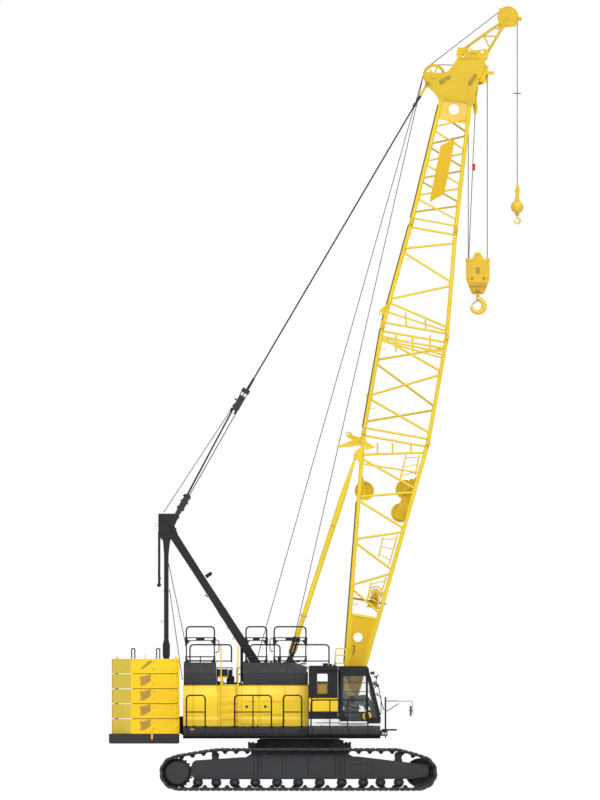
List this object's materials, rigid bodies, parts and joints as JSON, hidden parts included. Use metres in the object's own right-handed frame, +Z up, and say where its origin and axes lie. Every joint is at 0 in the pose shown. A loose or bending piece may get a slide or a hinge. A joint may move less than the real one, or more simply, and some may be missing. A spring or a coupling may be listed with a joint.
{
  "type": "crawler crane",
  "caption": "Lattice-boom crawler crane: tracked base, slewing upperworks with cab, gantry and counterweight, luffing boom with backstops, main hook block and auxiliary hook.",
  "frame": {"origin": "on the ground under the middle of the whole crane; the slewing axis stands 0.490 m behind it", "axes": "+X towards the boom and hooks, +Y to the crane's left, +Z up"},
  "size_m": [11.7804, 6.72, 22.2934],
  "materials": {
    "yellow_paint": "semi-gloss",
    "dark_grey_paint": "satin",
    "black_paint": "satin",
    "track_steel": "worn",
    "machined_steel": "machined",
    "wire_rope": "greased",
    "cab_glass": "tinted",
    "seat_fabric": "woven"
  },
  "bodies": {
    "crawlers": {"carbody": "dark_grey_paint", "slewing_ring": "machined_steel", "crawler_frame_right": "dark_grey_paint", "crawler_frame_left": "dark_grey_paint", "track_right": "track_steel", "track_left": "track_steel", "track_rollers": "dark_grey_paint", "drive_sprockets": "dark_grey_paint", "idler_wheels": "dark_grey_paint"},
    "upperworks": {"main_frame": "dark_grey_paint", "side_decks": "dark_grey_paint", "house_right": "yellow_paint", "house_left": "yellow_paint", "engine_block": "machined_steel", "engine_hoods": "black_paint", "silencer": "black_paint", "main_winch": "machined_steel", "auxiliary_winch": "machined_steel", "luffing_winch": "machined_steel", "side_rails": "black_paint", "roof_rails": "black_paint", "rear_cabin": "black_paint", "cab_shell": "yellow_paint", "cab_glazing": "cab_glass", "operator_seat": "seat_fabric", "front_platform": "dark_grey_paint", "ballast_tray": "black_paint", "ballast_blocks": "yellow_paint", "gantry": "black_paint"},
    "sliding_cab_door": {"cab_door": "yellow_paint"},
    "front_service_door": {"house_door_front": "yellow_paint"},
    "rear_service_door": {"house_door_rear": "yellow_paint"},
    "boom": {"boom_base": "yellow_paint", "boom_insert": "yellow_paint", "boom_tapered_insert": "yellow_paint", "boom_top": "yellow_paint", "boom_head": "yellow_paint", "head_sheaves": "yellow_paint", "guide_sheaves": "yellow_paint", "auxiliary_jib": "yellow_paint"},
    "luffing_link": {"lower_luffing_block": "black_paint", "luffing_reeving": "wire_rope"},
    "pendant_link": {"upper_bridle_block": "black_paint", "boom_pendants": "black_paint"},
    "backstop_barrels": {"backstop_tubes": "yellow_paint"},
    "backstop_ends": {"backstop_rods": "yellow_paint"},
    "main_rope_falls": {"main_falls": "wire_rope"},
    "main_block": {"hook_block": "yellow_paint"},
    "main_hook_swivel_body": {"main_hook": "black_paint"},
    "auxiliary_rope_fall": {"auxiliary_fall": "wire_rope"},
    "ball": {"ball_weight": "yellow_paint"},
    "auxiliary_hook_swivel_body": {"auxiliary_hook": "black_paint"}
  },
  "joints": [
    {"name": "slew", "type": "hinge", "parent": "crawlers", "child": "upperworks", "pos_m": [-0.49, 0, 1.47], "axis": [0, 0, 1], "continuous": true},
    {"name": "boom_luff", "type": "hinge", "parent": "upperworks", "child": "boom", "pos_m": [1.001, 0, 2.556], "axis": [0, 1, 0], "range_deg": [0, 50]},
    {"name": "luffing_link_turn", "type": "hinge", "parent": "upperworks", "child": "luffing_link", "pos_m": [-4.125, 0, 7.583], "axis": [0, 1, 0], "range_deg": [0, 46.85]},
    {"name": "pendant_travel", "type": "slide", "parent": "luffing_link", "child": "pendant_link", "axis": [0.5024, 0, 0.8646], "range_m": [0, 5.9947]},
    {"name": "backstop_turn", "type": "hinge", "parent": "upperworks", "child": "backstop_barrels", "pos_m": [-0.76, 0, 3.76], "axis": [0, 1, 0], "range_deg": [0, 48.04]},
    {"name": "backstop_travel", "type": "slide", "parent": "backstop_barrels", "child": "backstop_ends", "axis": [0.3088, 0, 0.9511], "range_m": [0, 1.7883]},
    {"name": "main_falls_hang", "type": "hinge", "parent": "boom", "child": "main_rope_falls", "pos_m": [4.57339, 0, 20.33606], "axis": [0, 1, 0], "range_deg": [-50.01, 0]},
    {"name": "main_hoist", "type": "slide", "parent": "main_rope_falls", "child": "main_block", "axis": [0, 0, 1], "range_m": [-12.8, 1.2], "deforming": ["main_falls"]},
    {"name": "main_hook_swivel", "type": "hinge", "parent": "main_block", "child": "main_hook_swivel_body", "pos_m": [4.57339, 0, 14.095], "axis": [0, 0, 1], "continuous": true},
    {"name": "auxiliary_fall_hang", "type": "hinge", "parent": "boom", "child": "auxiliary_rope_fall", "pos_m": [5.43043, 0, 21.98836], "axis": [0, 1, 0], "range_deg": [-50.01, 0]},
    {"name": "auxiliary_hoist", "type": "slide", "parent": "auxiliary_rope_fall", "child": "ball", "axis": [0, 0, 1], "range_m": [-15.3, 3], "deforming": ["auxiliary_fall"]},
    {"name": "auxiliary_hook_swivel", "type": "hinge", "parent": "ball", "child": "auxiliary_hook_swivel_body", "pos_m": [5.69243, 0, 16.33], "axis": [0, 0, 1], "continuous": true},
    {"name": "cab_door_slide", "type": "slide", "parent": "upperworks", "child": "sliding_cab_door", "axis": [-1, 0, 0], "range_m": [0, 0.72]},
    {"name": "front_service_door_hinge", "type": "hinge", "parent": "upperworks", "child": "front_service_door", "pos_m": [-0.914, -1.62, 1.9], "axis": [0, 0, 1], "range_deg": [0, 110]},
    {"name": "rear_service_door_hinge", "type": "hinge", "parent": "upperworks", "child": "rear_service_door", "pos_m": [-1.654, -1.62, 1.9], "axis": [0, 0, 1], "range_deg": [0, 110]}
  ],
  "couplings": [
    {"joint": "luffing_link_turn", "follows": "boom_luff", "ratio": 0.93674},
    {"joint": "pendant_travel", "follows": "boom_luff", "m_per_rad": 6.8683},
    {"joint": "backstop_turn", "follows": "boom_luff", "ratio": 0.96062},
    {"joint": "backstop_travel", "follows": "boom_luff", "m_per_rad": 2.0481},
    {"joint": "main_falls_hang", "follows": "boom_luff", "ratio": -1},
    {"joint": "auxiliary_fall_hang", "follows": "boom_luff", "ratio": -1}
  ]
}
